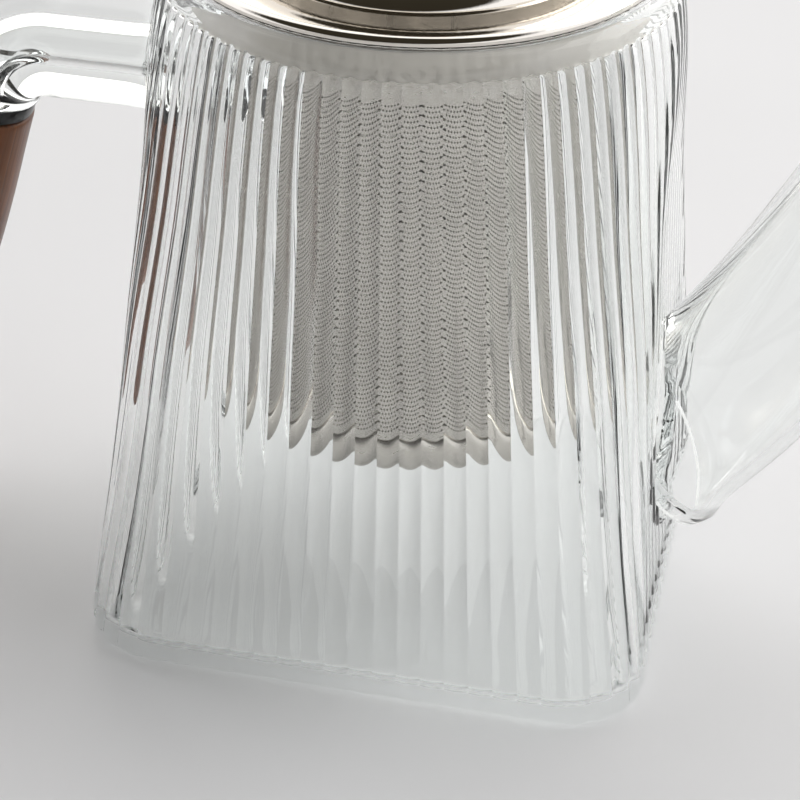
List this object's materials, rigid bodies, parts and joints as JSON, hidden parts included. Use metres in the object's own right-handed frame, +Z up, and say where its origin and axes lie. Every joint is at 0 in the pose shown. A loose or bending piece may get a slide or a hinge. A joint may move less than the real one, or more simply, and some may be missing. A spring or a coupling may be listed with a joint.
{
  "type": "glass teapot with infuser",
  "caption": "Square-based ribbed glass teapot with a curved spout, a glass arm with a turned wooden grip, a lift-out perforated steel infuser and a domed steel lid.",
  "frame": {"origin": "centre of the square base, on the surface the pot stands on", "axes": "+Z up, +X towards the spout, -X towards the handle, mirror plane Y = 0"},
  "size_m": [0.2081, 0.1, 0.1426],
  "materials": {
    "clear_glass": "clear, fire-polished",
    "black_silicone": "glossy",
    "walnut": "oiled",
    "polished_steel": "polished",
    "satin_steel": "satin"
  },
  "bodies": {
    "vessel": {"glass_body": "clear_glass", "glass_spout": "clear_glass", "glass_arm": "clear_glass", "grip_bushing": "black_silicone", "wooden_grip": "walnut"},
    "infuser": {"infuser_flange": "polished_steel", "infuser_collar": "polished_steel", "infuser_sleeve": "satin_steel", "infuser_base": "satin_steel"},
    "lid": {"lid_dome": "polished_steel", "lid_skirt": "satin_steel", "knob_washer": "satin_steel", "knob_screw": "satin_steel", "lid_knob": "walnut"}
  },
  "joints": [
    {"name": "infuser_lift", "type": "slide", "parent": "vessel", "child": "infuser", "axis": [0, 0, 1], "range_m": [0, 0.1]},
    {"name": "lid_lift", "type": "slide", "parent": "infuser", "child": "lid", "axis": [0, 0, 1], "range_m": [0, 0.06]}
  ]
}
